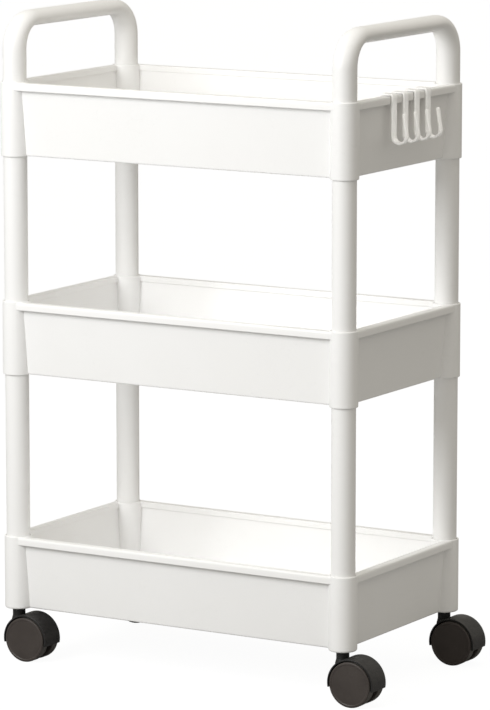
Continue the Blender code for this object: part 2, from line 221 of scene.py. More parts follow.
def newGroup(name, numbers, results):
    # a node group that takes a vector and named numbers and gives named numbers
    tree = bpy.data.node_groups.new(name, "ShaderNodeTree")
    tree.interface.new_socket("Vector", in_out="INPUT", socket_type="NodeSocketVector")
    for label, value in numbers.items():
        socket = tree.interface.new_socket(label, in_out="INPUT", socket_type="NodeSocketFloat")
        socket.default_value = value
    for label in results:
        tree.interface.new_socket(label, in_out="OUTPUT", socket_type="NodeSocketFloat")
    start = tree.nodes.new("NodeGroupInput").outputs
    return tree, start, tree.nodes.new("NodeGroupOutput").inputs


def addNode(tree, kind, settings=None, **inputs):
    # a value that is a socket is linked, any other is set; an input goes by name, or by number as _0
    node = tree.nodes.new(kind)
    for key, value in (settings or {}).items():
        setattr(node, key, value)
    for key, value in inputs.items():
        socket = node.inputs[int(key[1:])] if key[0] == "_" else node.inputs[key.replace("_", " ")]
        if isinstance(value, bpy.types.NodeSocket):
            tree.links.new(value, socket)
        else:
            socket.default_value = value
    return node


def addMath(tree, operation, first, second=0.0, third=0.0):
    node = addNode(tree, "ShaderNodeMath", {"operation": operation}, _0=first, _1=second, _2=third)
    return node.outputs[0]


def multiply(tree, first, second):
    return addMath(tree, "MULTIPLY", first, second)


def addRange(tree, value, taken, given=(0.0, 1.0)):
    # turns the taken span into the given one, with soft ends
    spans = {"_1": taken[0], "_2": taken[1], "_3": given[0], "_4": given[1]}
    node = addNode(tree, "ShaderNodeMapRange", {"interpolation_type": "SMOOTHSTEP"}, _0=value, **spans)
    return node.outputs[0]


def addNoise(tree, vector, scale, detail=2.0, roughness=0.5):
    look = {"Scale": scale, "Detail": detail, "Roughness": roughness}
    return addNode(tree, "ShaderNodeTexNoise", None, Vector=vector, **look).outputs["Fac"]


def addMix(tree, factor, first, second):
    node = addNode(tree, "ShaderNodeMix", {"data_type": "RGBA"}, _0=factor, _6=first, _7=second)
    return node.outputs[2]


skinSet = {"ripple": 0.4, "driftSpan": (0.3, 0.7)}


def makeMouldedSkin():
    # the fine grain of a mould's face, and slow drifts in tone where the melt flowed
    tree, start, end = newGroup("mouldedSkin", {"Grain": 1500.0, "Flow": 14.0}, ["Height", "Drift"])
    fine = addNoise(tree, start["Vector"], start["Grain"], detail=3.0, roughness=0.6)
    broad = addNoise(tree, start["Vector"], start["Flow"], detail=4.0, roughness=0.55)
    ripple = multiply(tree, broad, skinSet["ripple"])
    tree.links.new(addMath(tree, "ADD", fine, ripple), end["Height"])
    tree.links.new(addRange(tree, broad, skinSet["driftSpan"]), end["Drift"])
    return tree


scuffSet = {
    "turns": ((0.4, 0.2, 0.3), (1.3, 0.9, 2.0), (2.4, 0.5, 1.1)), "stretch": (1.0, 0.08, 1.0),
    "lineWide": 0.006, "patchScale": 22.0, "patchSpan": (0.5, 0.62),
}


def makeScuffs():
    # short fine scratches in patches, running every way
    tree, start, end = newGroup("scuffs", {"Scale": 60.0, "Cover": 0.5}, ["Mask"])
    lines = []
    for turn in scuffSet["turns"]:
        place = {"Vector": start["Vector"], "Rotation": turn, "Scale": scuffSet["stretch"]}
        aimed = addNode(tree, "ShaderNodeMapping", None, **place).outputs[0]
        wave = addNoise(tree, aimed, start["Scale"], detail=1.0, roughness=0.4)
        nearMiddle = addMath(tree, "ABSOLUTE", addMath(tree, "SUBTRACT", wave, 0.5))
        lines.append(addRange(tree, nearMiddle, (0.0, scuffSet["lineWide"]), (1.0, 0.0)))
    crossed = addMath(tree, "MAXIMUM", addMath(tree, "MAXIMUM", lines[0], lines[1]), lines[2])
    broken = addNoise(tree, start["Vector"], scuffSet["patchScale"], detail=3.0)
    patches = addRange(tree, broken, scuffSet["patchSpan"])
    tree.links.new(multiply(tree, multiply(tree, crossed, patches), start["Cover"]), end["Mask"])
    return tree


dustSet = {"upSpan": (0.55, 0.98), "scale": 45.0, "brokenSpan": (0.35, 0.75)}


def makeSettledDust():
    # a thin dust on what faces up, broken by noise
    tree, start, end = newGroup("settledDust", {"Amount": 0.5}, ["Mask"])
    facing = addNode(tree, "ShaderNodeNewGeometry").outputs["Normal"]
    up = addNode(tree, "ShaderNodeSeparateXYZ", None, _0=facing).outputs["Z"]
    lying = addRange(tree, up, dustSet["upSpan"])
    patchy = addNoise(tree, start["Vector"], dustSet["scale"], detail=6.0, roughness=0.7)
    broken = addRange(tree, patchy, dustSet["brokenSpan"])
    tree.links.new(multiply(tree, multiply(tree, lying, broken), start["Amount"]), end["Mask"])
    return tree


rubbedSet = {"wornSpan": (0.95, 1.45)}


def makeRubbed():
    # the handling wear that a piece's rub attribute marks, with a ragged border
    tree, start, end = newGroup("rubbed", {"Scale": 160.0, "Amount": 0.5}, ["Mask"])
    marked = addNode(tree, "ShaderNodeAttribute", {"attribute_name": "rub"}).outputs["Fac"]
    ragged = addNoise(tree, start["Vector"], start["Scale"], detail=5.0, roughness=0.65)
    worn = addRange(tree, addMath(tree, "ADD", marked, ragged), rubbedSet["wornSpan"])
    tree.links.new(multiply(tree, worn, start["Amount"]), end["Mask"])
    return tree


groups = {
    "skin": makeMouldedSkin(),
    "scuffs": makeScuffs(),
    "dust": makeSettledDust(),
    "rubbed": makeRubbed(),
}


def placeGroup(tree, name, vector, **inputs):
    return addNode(tree, "ShaderNodeGroup", {"node_tree": groups[name]}, Vector=vector, **inputs).outputs


def newMaterial(name):
    material = bpy.data.materials.new(name)
    material.use_nodes = True
    tree = material.node_tree
    spot = addNode(tree, "ShaderNodeTexCoord").outputs["Object"]
    return material, tree, tree.nodes["Principled BSDF"], spot


plasticSet = {"scuffRough": 0.18, "scuffDeep": 0.6, "dustRough": 0.25, "bumpHigh": 0.0001}


def plasticMaterial(name, look):
    material, tree, shader, spot = newMaterial(name)
    skin = placeGroup(tree, "skin", spot, Grain=look["grain"], Flow=look["flow"])
    scuffs = placeGroup(tree, "scuffs", spot, Scale=look["scratchScale"], Cover=look["scratches"])
    dust = placeGroup(tree, "dust", spot, Amount=look["dust"])
    rubbed = placeGroup(tree, "rubbed", spot, Scale=look["rubScale"], Amount=look["rub"])
    tone = addMix(tree, skin["Drift"], look["colour"], look["drift"])
    tone = addMix(tree, scuffs["Mask"], tone, look["scratchColour"])
    tone = addMix(tree, rubbed["Mask"], tone, look["rubColour"])
    tone = addMix(tree, dust["Mask"], tone, look["dustColour"])
    tree.links.new(tone, shader.inputs["Base Color"])
    rough = addRange(tree, skin["Drift"], (0.0, 1.0), (look["roughLow"], look["roughHigh"]))
    rough = addMath(tree, "MULTIPLY_ADD", scuffs["Mask"], plasticSet["scuffRough"], rough)
    rough = addMath(tree, "MULTIPLY_ADD", rubbed["Mask"], look["rubRough"], rough)
    rough = addMath(tree, "MULTIPLY_ADD", dust["Mask"], plasticSet["dustRough"], rough)
    tree.links.new(rough, shader.inputs["Roughness"])
    height = addMath(tree, "MULTIPLY_ADD", scuffs["Mask"], -plasticSet["scuffDeep"], skin["Height"])
    relief = {"Strength": look["bump"], "Distance": plasticSet["bumpHigh"], "Height": height}
    tree.links.new(addNode(tree, "ShaderNodeBump", None, **relief).outputs[0], shader.inputs["Normal"])
    shader.inputs["Specular IOR Level"].default_value = look["specular"]
    return material


def glowingPlastic(name, look):
    # thin milky plastic that lets some light through
    material = plasticMaterial(name, look)
    shader = material.node_tree.nodes["Principled BSDF"]
    shader.inputs["Subsurface Weight"].default_value = 1.0
    shader.inputs["Subsurface Radius"].default_value = (1.0, 1.0, 1.0)
    shader.inputs["Subsurface Scale"].default_value = look["glowDeep"]
    return material


def steelMaterial(name, look):
    # zinc plate over turned steel: fine lathe rings, and a bluish bloom
    material, tree, shader, spot = newMaterial(name)
    rings = addNode(tree, "ShaderNodeMapping", None, Vector=spot, Scale=look["ringStretch"])
    turned = addNoise(tree, rings.outputs[0], look["ringScale"], 2.0, 0.6)
    bloom = addNoise(tree, spot, look["bloomScale"], 5.0, 0.6)
    bloomed = addRange(tree, bloom, look["bloomSpan"])
    tree.links.new(addMix(tree, bloomed, look["colour"], look["bloom"]), shader.inputs["Base Color"])
    tree.links.new(addRange(tree, bloom, look["roughSpan"], look["rough"]), shader.inputs["Roughness"])
    relief = {"Strength": look["bump"], "Distance": look["bumpHigh"], "Height": turned}
    tree.links.new(addNode(tree, "ShaderNodeBump", None, **relief).outputs[0], shader.inputs["Normal"])
    shader.inputs["Metallic"].default_value = 1.0
    return material


whiteLook = {
    "colour": (0.915, 0.913, 0.908, 1), "drift": (0.898, 0.895, 0.888, 1),
    "scratchColour": (0.80, 0.795, 0.78, 1), "rubColour": (0.93, 0.93, 0.925, 1),
    "dustColour": (0.84, 0.83, 0.80, 1),
    "grain": 1500.0, "flow": 9.0, "scratchScale": 70.0, "rubScale": 150.0,
    "scratches": 0.25, "dust": 0.10, "rub": 0.6,
    "roughLow": 0.38, "roughHigh": 0.47, "rubRough": -0.08, "bump": 0.22, "specular": 0.5,
}
hookLook = dict(
    whiteLook, colour=(0.95, 0.94, 0.92, 1), drift=(0.93, 0.915, 0.89, 1), rubColour=(0.96, 0.955, 0.94, 1),
    grain=2200.0, flow=60.0, scratchScale=160.0, bump=0.3, dust=0.05, glowDeep=0.006,
)
hoodLook = {
    "colour": (0.0135, 0.0130, 0.0132, 1), "drift": (0.020, 0.0192, 0.0190, 1),
    "scratchColour": (0.075, 0.072, 0.07, 1), "rubColour": (0.060, 0.057, 0.055, 1),
    "dustColour": (0.10, 0.095, 0.088, 1),
    "grain": 2600.0, "flow": 60.0, "scratchScale": 190.0, "rubScale": 420.0,
    "scratches": 0.4, "dust": 0.16, "rub": 0.55,
    "roughLow": 0.34, "roughHigh": 0.46, "rubRough": 0.06, "bump": 0.85, "specular": 0.28,
}
wheelLook = dict(
    hoodLook, colour=(0.043, 0.0345, 0.0305, 1), drift=(0.050, 0.0405, 0.0355, 1),
    scratchColour=(0.10, 0.09, 0.082, 1), rubColour=(0.105, 0.098, 0.09, 1),
    grain=2000.0, scratches=0.5, rub=0.8, roughLow=0.40, roughHigh=0.50, bump=0.35, specular=0.4,
)
sleeveLook = dict(
    whiteLook, colour=(0.62, 0.61, 0.58, 1), drift=(0.57, 0.555, 0.52, 1),
    scratchColour=(0.5, 0.49, 0.46, 1), rubColour=(0.45, 0.45, 0.44, 1),
    grain=1800.0, flow=50.0, scratchScale=200.0, scratches=0.5,
)
steelLook = {
    "colour": (0.55, 0.56, 0.58, 1), "bloom": (0.62, 0.61, 0.60, 1),
    "bloomScale": 240.0, "bloomSpan": (0.35, 0.65), "ringStretch": (0.15, 0.15, 6.0), "ringScale": 900.0,
    "roughSpan": (0.3, 0.7), "rough": (0.24, 0.42), "bump": 0.3, "bumpHigh": 0.00005,
}
materials = {
    "white_plastic": plasticMaterial("whitePlastic", whiteLook),
    "hook_plastic": glowingPlastic("hookPlastic", hookLook),
    "hood_plastic": plasticMaterial("hoodPlastic", hoodLook),
    "wheel_plastic": plasticMaterial("wheelPlastic", wheelLook),
    "sleeve_plastic": plasticMaterial("sleeveNylon", sleeveLook),
    "steel": steelMaterial("zincSteel", steelLook),
}
print("materials made,", len(materials))


# trays

traySet = {
    "wall": 0.0022, "floor": 0.0024,
    "footOut": 0.0016,  # wall's outer face at the floor, outside the post axes
    "headOut": 0.0068,  # the same under the rim
    "rimOut": 0.013, "rimHigh": 0.0083, "rimRound": 0.0026, "hemRound": 0.0009, "underRound": 0.001,
    "lipIn": 0.0020, "lipHigh": 0.0064,  # the bead round the inside of the rim
    "lipRound": 0.0012, "lipHemRound": 0.0005, "lipFootRound": 0.0003,
    "cornerIn": 0.006, "cornerSteps": 8, "floorIn": 0.005,
    "footRound": 0.002, "floorRound": 0.0035, "rubHigh": 0.0009,
    "collarSteps": 72, "collarRound": 0.0012, "footCollarRound": 0.0024, "mouth": 0.0004,
    "sleeveFlange": 0.0096, "sleeveFlangeHigh": 0.0015, "sleeveBore": 0.0080, "sleeveDeep": 0.0373,
}


def trayHeights(level):
    # where the floor's underside is, and how far the rim stands above it
    low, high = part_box(f"tray_{level}")
    return low.z + fits["collarStep"], high.z - low.z - 2 * fits["collarStep"]


def wallOut(height, tall):
    # the leaning wall's outer face, outside the post axes
    lean = (traySet["headOut"] - traySet["footOut"]) / (tall - traySet["rimHigh"])
    return traySet["footOut"] + lean * height


def lipOut(tall):
    return wallOut(tall, tall) - traySet["wall"] - traySet["lipIn"]


def trayOutline(tall):
    # (outside the post axes, height) from under the floor, over the rim, down to the floor
    wall = traySet["wall"]
    floor = traySet["floor"]
    start = -traySet["floorIn"]
    under = tall - wall
    rimFoot = tall - traySet["rimHigh"]
    lipFoot = tall - traySet["lipHigh"]
    hem = traySet["hemRound"]
    return roundedOutline([
        (start, 0, 0),
        (traySet["footOut"], 0, traySet["footRound"]),
        (wallOut(under, tall), under, traySet["underRound"]),
        (traySet["rimOut"] - wall, under, hem),
        (traySet["rimOut"] - wall, rimFoot, hem),
        (traySet["rimOut"], rimFoot, hem),
        (traySet["rimOut"], tall, traySet["rimRound"]),
        (lipOut(tall), tall, traySet["lipRound"]),
        (lipOut(tall), lipFoot, traySet["lipHemRound"]),
        (wallOut(lipFoot, tall) - wall, lipFoot, traySet["lipFootRound"]),
        (wallOut(floor, tall) - wall, floor, traySet["floorRound"]),
        (start, floor, 0),
    ])


def sweepBasin(points):
    # the outline runs along each side and spins round each corner; the floor's two faces are filled last
    bm = bmesh.new()
    cornerX = halfLong - traySet["cornerIn"]
    cornerY = halfDeep - traySet["cornerIn"]
    line = drawLine(bm, [(halfLong + out, -cornerY, up) for out, up in points])
    edges = splitGrown(line)[1]
    for alongX, alongY, centreX, centreY in ((0, 2, 1, 1), (-2, 0, -1, 1), (0, -2, -1, -1), (2, 0, 1, -1)):
        verts, edges = splitGrown(bmesh.ops.extrude_edge_only(bm, edges=edges)["geom"])
        bmesh.ops.translate(bm, verts=verts, vec=(alongX * cornerX, alongY * cornerY, 0))
        turned = bmesh.ops.spin(
            bm, geom=verts + edges, cent=(centreX * cornerX, centreY * cornerY, 0), axis=(0, 0, 1),
            angle=math.pi / 2, steps=traySet["cornerSteps"],
        )
        edges = splitGrown(turned["geom_last"])[1]
    bmesh.ops.remove_doubles(bm, verts=bm.verts, dist=weldReach)
    closeEnds(bm)
    return bm


def atCorners(points, steps):
    # the same turned shape at all four posts
    bm = bmesh.new()
    for spot in postSpots.values():
        one = turnedProfile(points, steps)
        bmesh.ops.remove_doubles(one, verts=one.verts, dist=weldReach)
        bmesh.ops.translate(one, verts=one.verts, vec=(spot.x - cartMiddle.x, spot.y, 0))
        part = bpy.data.meshes.new("part")
        one.to_mesh(part)
        one.free()
        bm.from_mesh(part)
        bpy.data.meshes.remove(part)
    return bm


def boreOutline(radius, mouth, depth, flare):
    # a bore goes down from its mouth, or up when the depth is negative
    side = 1 if depth > 0 else -1
    beyond = mouth + side * fits["overcut"]
    return [
        (0, mouth - depth), (radius, mouth - depth), (radius, mouth - side * flare),
        (radius + flare, mouth), (radius + flare, beyond), (0, beyond),
    ]


def sleeveOutline():
    # the stepped hole under a bottom collar for a caster's socket
    flange = traySet["sleeveFlange"]
    sleeve = traySet["sleeveBore"]
    ledge = traySet["sleeveFlangeHigh"] - fits["collarStep"]
    deep = traySet["sleeveDeep"] - fits["collarStep"]
    start = -fits["overcut"]
    return [(0, start), (flange, start), (flange, ledge), (sleeve, ledge), (sleeve, deep), (0, deep)]


def buildTray(level):
    base, tall = trayHeights(level)
    step = fits["collarStep"]
    tray = addMesh(f"{level}Tray", meshFrom(sweepBasin(trayOutline(tall)), f"{level}Tray"))
    footRound = traySet["footCollarRound"] if level == "bottom" else traySet["collarRound"]
    top = tall + step
    collar = [
        (0, -step, 0), (collarRadius, -step, footRound),
        (collarRadius, top, traySet["collarRound"]), (0, top, 0),
    ]
    carve(tray, "UNION", atCorners(roundedOutline(collar), traySet["collarSteps"]))
    bore = postRadius + fits["slipGap"]
    cuts = [boreOutline(bore, top, fits["tubeSeat"], traySet["mouth"])]
    if level == "bottom":
        cuts.append(sleeveOutline())
    else:
        cuts.append(boreOutline(bore, -step, -fits["tubeSeat"], traySet["mouth"]))
        inside = postRadius - fits["tubeWall"]
        cuts.append([(0, 0), (inside, 0), (inside, tall), (0, tall)])
    for cut in cuts:
        carve(tray, "DIFFERENCE", atCorners(cut, traySet["collarSteps"]))
    tray.data.transform(Matrix.Translation((cartMiddle.x, 0, base)))
    rimTop = base + tall
    markRub(tray.data, lambda spot: 1.0 if abs(spot.z - rimTop) < traySet["rubHigh"] else 0.0)
    finishPiece(tray, "frame", [f"tray_{level}"], "white_plastic")


for trayLevel in trayLevels:
    buildTray(trayLevel)
print("trays built")


# posts

postSet = {"steps": 64, "endRound": 0.0004}


def ringOutline(inner, outer, low, high, soft):
    # the wall of a tube or ring, its four edges softened
    corners = [(inner, low, soft), (outer, low, soft), (outer, high, soft), (inner, high, soft)]
    return roundedOutline(corners, steps=2, closed=True)


def buildPost(level, corner):
    node = f"{level}_post_{corner}"
    low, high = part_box(node)
    wall = ringOutline(postRadius - fits["tubeWall"], postRadius, low.z, high.z, postSet["endRound"])
    shape = turnedProfile(wall, postSet["steps"], closed=True)
    place = Matrix.Translation((postSpots[corner].x, postSpots[corner].y, 0))
    post = addMesh(f"{level}Post.{corner}", meshFrom(shape, node, place))
    markRub(post.data, noRub)
    finishPiece(post, "frame", [node], "white_plastic")


for postLevel in ("lower", "upper"):
    for cornerName in cornerNames:
        buildPost(postLevel, cornerName)
print("posts built")


# push handles

handleSet = {"steps": 56, "bendSteps": 18, "bend": 0.032, "gripThick": 0.0173, "rub": 0.8}


def handlePlaces(foot, top, x):
    # sections up the front leg, round two bends and down the rear leg; the grip is thinner than the legs
    halfGrip = handleSet["gripThick"] / 2
    bend = handleSet["bend"]
    crown = top - halfGrip
    stations = [(-halfDeep, foot, 0, 0)]
    for step in range(handleSet["bendSteps"] + 1):
        part = step / handleSet["bendSteps"]
        turn = math.pi / 2 * part
        y = -halfDeep + bend * (1 - math.cos(turn))
        z = crown - bend * (1 - math.sin(turn))
        stations.append((y, z, turn, smoothly(part)))
    stations += [(-y, z, math.pi - turn, flat) for y, z, turn, flat in reversed(stations)]
    places = []
    for y, z, turn, flat in stations:
        thick = postRadius + (halfGrip - postRadius) * flat
        aim = Matrix.Rotation(-turn, 4, "X") @ Matrix.Diagonal((postRadius, thick, 1, 1))
        places.append(Matrix.Translation((x, y, z)) @ aim)
    return places


def buildHandle(side):
    node = f"handle_{side}"
    low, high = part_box(node)
    places = handlePlaces(low.z, high.z, (low.x + high.x) / 2)
    bm = bmesh.new()
    ring = bmesh.ops.create_circle(bm, segments=handleSet["steps"], radius=1, cap_ends=False)["verts"]
    edges = list({edge for vert in ring for edge in vert.link_edges})
    bmesh.ops.transform(bm, matrix=places[0], verts=ring)
    loftAlong(bm, edges, places)
    bmesh.ops.recalc_face_normals(bm, faces=bm.faces)
    bmesh.ops.solidify(bm, geom=list(bm.faces), thickness=fits["tubeWall"])
    handle = addMesh(f"{side}Handle", meshFrom(bm, node))

    def gripRub(spot):
        risen = 1.0 - (high.z - spot.z) / handleSet["gripThick"]
        return handleSet["rub"] * min(max(risen, 0.0), 1.0)

    markRub(handle.data, gripRub)
    finishPiece(handle, "frame", [node], "white_plastic")


for handleSide in ("left", "right"):
    buildHandle(handleSide)
print("handles built")


# rim hooks

hookSet = {
    "thick": 0.0024, "high": 0.0525, "reach": 0.0154, "arm": 0.0235, "lean": 0.0035, "innerLeg": 0.0075,
    "sideRound": 0.0009, "clipRound": 0.0016, "bendSteps": 20, "armSteps": 5,
    "tipWide": 0.58, "endSlopes": (25, 50, 72), "endWide": 0.35, "rubHigh": 0.006,
}


def hookPath(postX, rimTop):
    # the strip's middle line in three runs: over the rim and down, round the bend, up to the tip
    half = hookSet["thick"] / 2
    inner = postX + lipOut(trayHeights("top")[1]) - fits["slipGap"] - half
    strap = postX + traySet["rimOut"] + fits["slipGap"] + half
    crest = rimTop + fits["slipGap"] + half
    bend = hookSet["reach"] / 2
    foot = crest + half - hookSet["high"] + half + bend
    over = roundedOutline([
        (inner, rimTop - hookSet["innerLeg"], 0), (inner, crest, hookSet["clipRound"]),
        (strap, crest, hookSet["clipRound"]), (strap, foot, 0),
    ], steps=6)
    down = between(over[-2], over[-1], 4)[:-1]
    around = arcPoints(strap + bend, foot, bend, 180, 360, hookSet["bendSteps"])
    tip = around[-1] + Vector((-hookSet["lean"], hookSet["arm"] - half))
    return over[:-1] + down, around, between(around[-1], tip, hookSet["armSteps"])


def stripSection(bm, wide, thick, soft):
    # a flat strip's section, thick along X and wide along Y, its sides rounded over
    across, up = thick / 2, wide / 2
    corners = [(-across, -up, soft), (across, -up, soft), (across, up, soft), (-across, up, soft)]
    outline = roundedOutline(corners, steps=3, closed=True)
    return splitGrown(drawLine(bm, [(point.x, point.y, 0) for point in outline], True))


def hookStations(strap, around, arm):
    # (spot, turn, width, thickness) along the strip: it narrows past the strap and ends rounded
    path = strap + around + arm
    last = len(path) - 1
    stations = []
    for index, spot in enumerate(path):
        ahead = path[min(index + 1, last)] - path[max(index - 1, 0)]
        turn = math.atan2(ahead.x, ahead.y)
        done = max(0, index - len(strap)) / (last - len(strap))
        stations.append((spot, turn, 1 - (1 - hookSet["tipWide"]) * smoothly(done), 1.0))
    tipTurn = stations[-1][1]
    ahead = Vector((math.sin(tipTurn), math.cos(tipTurn)))
    for angle in hookSet["endSlopes"]:
        slope = math.radians(angle)
        spot = path[-1] + ahead * hookSet["thick"] * 0.5 * math.sin(slope)
        share = hookSet["endWide"] + (1 - hookSet["endWide"]) * math.cos(slope)
        stations.append((spot, tipTurn, hookSet["tipWide"] * share, math.cos(slope)))
    return stations


def buildHook(number):
    node = f"hook_{number}"
    low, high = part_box(node)
    middle = (low.y + high.y) / 2
    rimTop = high.z - fits["slipGap"] - hookSet["thick"]
    strap, around, arm = hookPath(postSpots["front_right"].x, rimTop)
    places = []
    for spot, turn, wide, thick in hookStations(strap, around, arm):
        section = Matrix.Rotation(turn, 4, "Y") @ Matrix.Diagonal((thick, wide, 1, 1))
        places.append(Matrix.Translation((spot.x, middle, spot.y)) @ section)
    bm = bmesh.new()
    verts, edges = stripSection(bm, high.y - low.y, hookSet["thick"], hookSet["sideRound"])
    bmesh.ops.transform(bm, matrix=places[0], verts=verts)
    loftAlong(bm, edges, places)
    closeEnds(bm)
    hook = addMesh(f"rimHook.{number}", meshFrom(bm, node))
    seat = around[hookSet["bendSteps"] // 2].y
    markRub(hook.data, lambda spot: max(0.0, 1.0 - (spot.z - seat) / hookSet["rubHigh"]))
    finishPiece(hook, node, [node], "hook_plastic")


for hookNumber in range(1, 5):
    buildHook(hookNumber)
print("hooks built")


# casters, built once with the stem's axis at the origin and copied to each corner

casterSet = {
    "steps": 96, "hoodSteps": 72, "hoodWall": 0.0015, "hoodRound": 0.0006, "hoodDip": 10.6,
    "web": 0.010, "webRound": 0.0008, "wellReach": 0.03,
    "hubArc": (0.0095, 200, 340, 16),  # radius, start, end and steps
    "neck": 0.00685, "neckFlare": 0.0012, "neckRound": 0.0006, "neckSteps": 64,
    "neckSink": 0.0025, "neckRise": 0.0022, "neckFillet": 0.002,  # the flare about the hood's roof
    "pin": 0.0043, "pinSteps": 48, "axleBore": 0.0033, "axleRound": 0.0005, "axleSteps": 40,
}
wheelSet = {
    "steps": 96, "edgeRound": 0.0015, "innerRound": 0.0005, "soft": 0.0003,
    "dish": 0.0004, "dishRadius": 0.0209, "dishRound": 0.0004, "lip": 0.0007,
    "crown": 0.0002, "crownShare": 0.6, "crownRound": 0.002,
    "groove": 0.0003, "grooveOut": 0.0034, "grooveIn": 0.0022,
    "bore": 0.0033, "boreEnd": 0.0129, "pocketDeep": 0.004, "pocketInner": 0.0075, "pocketOuter": 0.0197,
}
stemSet = {
    "steps": 48, "pin": 0.004, "pinDeep": 0.026, "pinRound": 0.0006,
    "shank": 0.005, "shankRound": 0.0003, "tip": 0.001,
    "groove": 0.001, "grooveHigh": 0.0026, "grooveDown": 0.005, "grooveRound": 0.0002,
    "flange": 0.0095, "flangeHigh": 0.0012, "flangeRound": 0.0004, "flangeTopRound": 0.0003,
    "sleeve": 0.0077, "sleeveRound": 0.0008, "bore": 0.0055,
    "ringWall": 0.0014, "ringSlot": 40, "ringRound": 0.0003,
}

casterNode = "front_left"
casterOrigin = Vector((postSpots[casterNode].x, postSpots[casterNode].y, 0))
hoodLow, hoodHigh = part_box(f"housing_{casterNode}")
wheelLow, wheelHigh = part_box(f"wheel_{casterNode}_b")
wheelMiddle = middleOf(f"wheel_{casterNode}_b")
axleSpot = Vector((wheelMiddle.x, casterOrigin.y, wheelMiddle.z)) - casterOrigin
wheelRadius = (wheelHigh.z - wheelLow.z) / 2
wheelIn = wheelLow.y - casterOrigin.y  # inner face, from the caster's middle
wheelOut = wheelHigh.y - casterOrigin.y
hoodHalf = (hoodHigh.y - hoodLow.y) / 2
hoodRadius = (hoodHigh.x - hoodLow.x) / 2
neckTop = hoodHigh.z
onAxle = Matrix.Translation(axleSpot) @ Matrix.Rotation(-math.pi / 2, 4, "X")


def hoodShape():
    # the hood as a solid over both wheels, its underside running round the hub
    dip = casterSet["hoodDip"]
    outline = arcPoints(0, 0, hoodRadius, -dip, 180 + dip, casterSet["hoodSteps"])
    outline += arcPoints(0, 0, *casterSet["hubArc"])
    bm = bmesh.new()
    face = bm.faces.new([bm.verts.new((across, -hoodHalf, up)) for across, up in outline])
    grown = bmesh.ops.extrude_face_region(bm, geom=[face])["geom"]
    bmesh.ops.translate(bm, verts=splitGrown(grown)[0], vec=(0, 2 * hoodHalf, 0))
    bm.normal_update()
    sides = [edge for edge in bm.edges if abs(edge.verts[0].co.y - edge.verts[1].co.y) < weldReach]
    bmesh.ops.bevel(
        bm, geom=sides, offset=casterSet["hoodRound"], offset_type="OFFSET", segments=3, profile=0.5,
        affect="EDGES", material=-1,
    )
    bmesh.ops.translate(bm, verts=bm.verts, vec=axleSpot)
    return bm


def neckOutline():
    neck = casterSet["neck"]
    flare = neck + casterSet["neckFlare"]
    roof = axleSpot.z + math.sqrt(hoodRadius ** 2 - axleSpot.x ** 2)
    return roundedOutline([
        (0, axleSpot.z, 0), (flare, axleSpot.z, 0), (flare, roof - casterSet["neckSink"], 0),
        (neck, roof + casterSet["neckRise"], casterSet["neckFillet"]),
        (neck, neckTop, casterSet["neckRound"]), (0, neckTop, 0),
    ])


def wellsOutline():
    # a well for each wheel, joined by the axle's bore through the web
    side = casterSet["web"] / 2
    well = hoodRadius - casterSet["hoodWall"]
    bore = casterSet["axleBore"]
    soft = casterSet["webRound"]
    reach = casterSet["wellReach"]
    return roundedOutline([
        (0, -reach, 0), (well, -reach, 0), (well, -side, soft), (bore, -side, 0),
        (bore, side, 0), (well, side, soft), (well, reach, 0), (0, reach, 0),
    ])


def buildHousing():
    housing = addMesh("housing", meshFrom(hoodShape(), "housing"))
    carve(housing, "UNION", turnedProfile(neckOutline(), casterSet["neckSteps"]))
    wells = turnedProfile(wellsOutline(), casterSet["steps"])
    bmesh.ops.transform(wells, matrix=onAxle, verts=wells.verts)
    carve(housing, "DIFFERENCE", wells)
    pin = casterSet["pin"]
    pinFoot = neckTop - stemSet["pinDeep"] - fits["slipGap"]
    pinTop = neckTop + fits["overcut"] / 2
    hole = [(0, pinFoot), (pin, pinFoot), (pin, pinTop), (0, pinTop)]
    carve(housing, "DIFFERENCE", turnedProfile(hole, casterSet["pinSteps"]))
    return housing


def wheelMesh(side):
    # a dished face, two grooves round the tread, and a pocket inside
    dish = wheelOut - wheelSet["dish"]
    rim = wheelSet["dishRadius"]
    groove = wheelSet["groove"]
    pocket = wheelIn + wheelSet["pocketDeep"]
    inner = wheelSet["innerRound"]
    soft = wheelSet["soft"]
    corners = [
        (0, dish + wheelSet["crown"], 0),
        (rim * wheelSet["crownShare"], dish + wheelSet["crown"] / 2, wheelSet["crownRound"]),
        (rim, dish, wheelSet["dishRound"]), (rim + wheelSet["lip"], wheelOut, wheelSet["dishRound"]),
        (wheelRadius, wheelOut, wheelSet["edgeRound"]),
    ]
    for along in (wheelOut - wheelSet["grooveOut"], wheelIn + wheelSet["grooveIn"]):
        corners += [
            (wheelRadius, along + groove, 0), (wheelRadius - groove, along + groove / 2, 0),
            (wheelRadius - groove, along - groove / 2, 0), (wheelRadius, along - groove, 0),
        ]
    corners += [
        (wheelRadius, wheelIn, inner),
        (wheelSet["pocketOuter"], wheelIn, soft), (wheelSet["pocketOuter"], pocket, inner),
        (wheelSet["pocketInner"], pocket, inner), (wheelSet["pocketInner"], wheelIn, soft),
        (wheelSet["bore"], wheelIn, soft), (wheelSet["bore"], wheelSet["boreEnd"], 0),
        (0, wheelSet["boreEnd"], 0),
    ]
    points = [(across, side * up) for across, up in roundedOutline(corners)]
    return turnedProfile(points, wheelSet["steps"])


